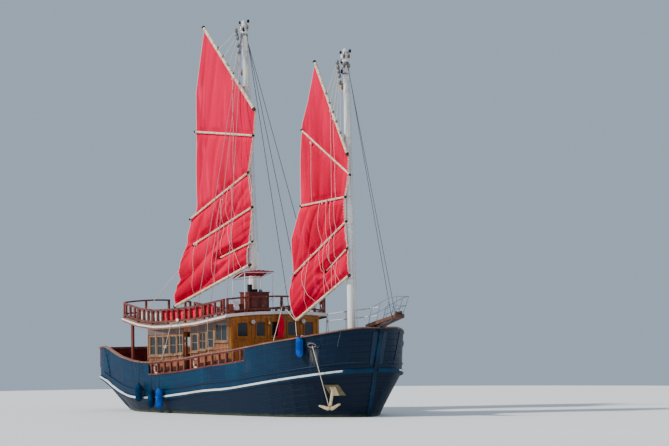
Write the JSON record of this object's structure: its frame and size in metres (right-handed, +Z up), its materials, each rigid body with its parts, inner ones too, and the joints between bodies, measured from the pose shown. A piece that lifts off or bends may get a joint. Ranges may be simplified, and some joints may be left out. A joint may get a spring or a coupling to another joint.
{
  "type": "chinese junk ship",
  "caption": "Wooden motor junk with two masts, crimson batten sails, a deckhouse under a railed upper deck, and a bowsprit with a pulpit",
  "frame": {"origin": "on the centreline at the waterline, amidships", "axes": "+X to the bow, +Y to port, +Z up"},
  "size_m": [21.7416, 6.2913, 19.75],
  "materials": {
    "hull_paint": "navy blue gloss paint on planking, worn",
    "keel_timber": "dark painted timber",
    "white_paint": "white gloss paint, weathered",
    "cap_timber": "sun-bleached reddish brown timber",
    "varnish": "varnished teak",
    "mahogany": "dark red varnished timber",
    "spar": "cream painted poles",
    "mast_paint": "white and grey paint",
    "sailcloth": "crimson sailcloth with pale edge ropes",
    "canopy_cloth": "faded red canvas",
    "steel": "polished stainless tube",
    "wire": "galvanised wire rope",
    "iron": "rusty iron",
    "bronze": "bronze",
    "fender": "blue inflated vinyl",
    "life_ring": "orange foam with white bands"
  },
  "bodies": {
    "ship": {"hull": "hull_paint", "keel": "keel_timber", "bulwark_bow": "hull_paint", "bulwark_starboard": "hull_paint", "bulwark_port": "hull_paint", "balustrade_starboard": "mahogany", "balustrade_port": "mahogany", "cap_rail_starboard": "cap_timber", "cap_rail_port": "cap_timber", "wale_starboard": "white_paint", "wale_port": "white_paint", "rail_starboard": "mahogany", "rail_port": "mahogany", "post_starboard": "mahogany", "post_port": "mahogany", "shrouds_starboard": "wire", "shrouds_port": "wire", "house_starboard": "varnish", "house_port": "varnish", "house_front": "varnish", "house_aft": "varnish", "transom_frame": "mahogany", "upper_deck": "white_paint", "rail_front": "mahogany", "rail_aft": "mahogany", "ladder": "varnish", "console": "mahogany", "locker": "mahogany", "canopy": "canopy_cloth", "canopy_frame": "white_paint", "mast_main": "mast_paint", "mast_fore": "mast_paint", "forestays": "wire", "bowsprit": "mahogany", "pulpit": "steel", "side_rail": "white_paint", "anchor": "iron", "fender_1": "fender", "fender_2": "fender", "fender_3": "fender", "fender_4": "fender", "life_ring_1": "life_ring", "life_ring_2": "life_ring"},
    "main_rig": {"main_yard": "spar", "main_boom": "spar", "main_battens": "spar", "main_sail": "sailcloth"},
    "fore_rig": {"fore_yard": "spar", "fore_boom": "spar", "fore_battens": "spar", "fore_sail": "sailcloth"},
    "rudder_blade": {"rudder": "hull_paint"},
    "screw": {"propeller": "bronze"},
    "wheel": {"helm_wheel": "varnish"},
    "starboard_leaf": {"door_starboard": "varnish"},
    "port_leaf": {"door_port": "varnish"}
  },
  "joints": [
    {"name": "main_swing", "type": "hinge", "parent": "ship", "child": "main_rig", "pos_m": [0.71, 0, 5.7], "axis": [-0.0433, 0, 0.9991], "range_deg": [-26, 20]},
    {"name": "fore_swing", "type": "hinge", "parent": "ship", "child": "fore_rig", "pos_m": [7.985, 0, 3.94], "axis": [-0.0218, 0, 0.9998], "range_deg": [-30, 60]},
    {"name": "rudder_turn", "type": "hinge", "parent": "ship", "child": "rudder_blade", "pos_m": [-7.72, 0, -1], "axis": [0, 0, 1], "range_deg": [-35, 35]},
    {"name": "propeller_spin", "type": "hinge", "parent": "ship", "child": "screw", "pos_m": [-7.18, 0, -1], "axis": [1, 0, 0], "continuous": true},
    {"name": "helm_turn", "type": "hinge", "parent": "ship", "child": "wheel", "pos_m": [1.46, -0.8, 5.2], "axis": [1, 0, 0], "range_deg": [-540, 540]},
    {"name": "door_starboard_swing", "type": "hinge", "parent": "ship", "child": "starboard_leaf", "pos_m": [-1.286, -2.448, 2.7], "axis": [0, 0, 1], "range_deg": [-90, 0]},
    {"name": "door_port_swing", "type": "hinge", "parent": "ship", "child": "port_leaf", "pos_m": [-1.286, 2.448, 2.7], "axis": [0, 0, 1], "range_deg": [0, 90]}
  ],
  "couplings": [
    {"joint": "helm_turn", "follows": "rudder_turn", "ratio": 15}
  ]
}
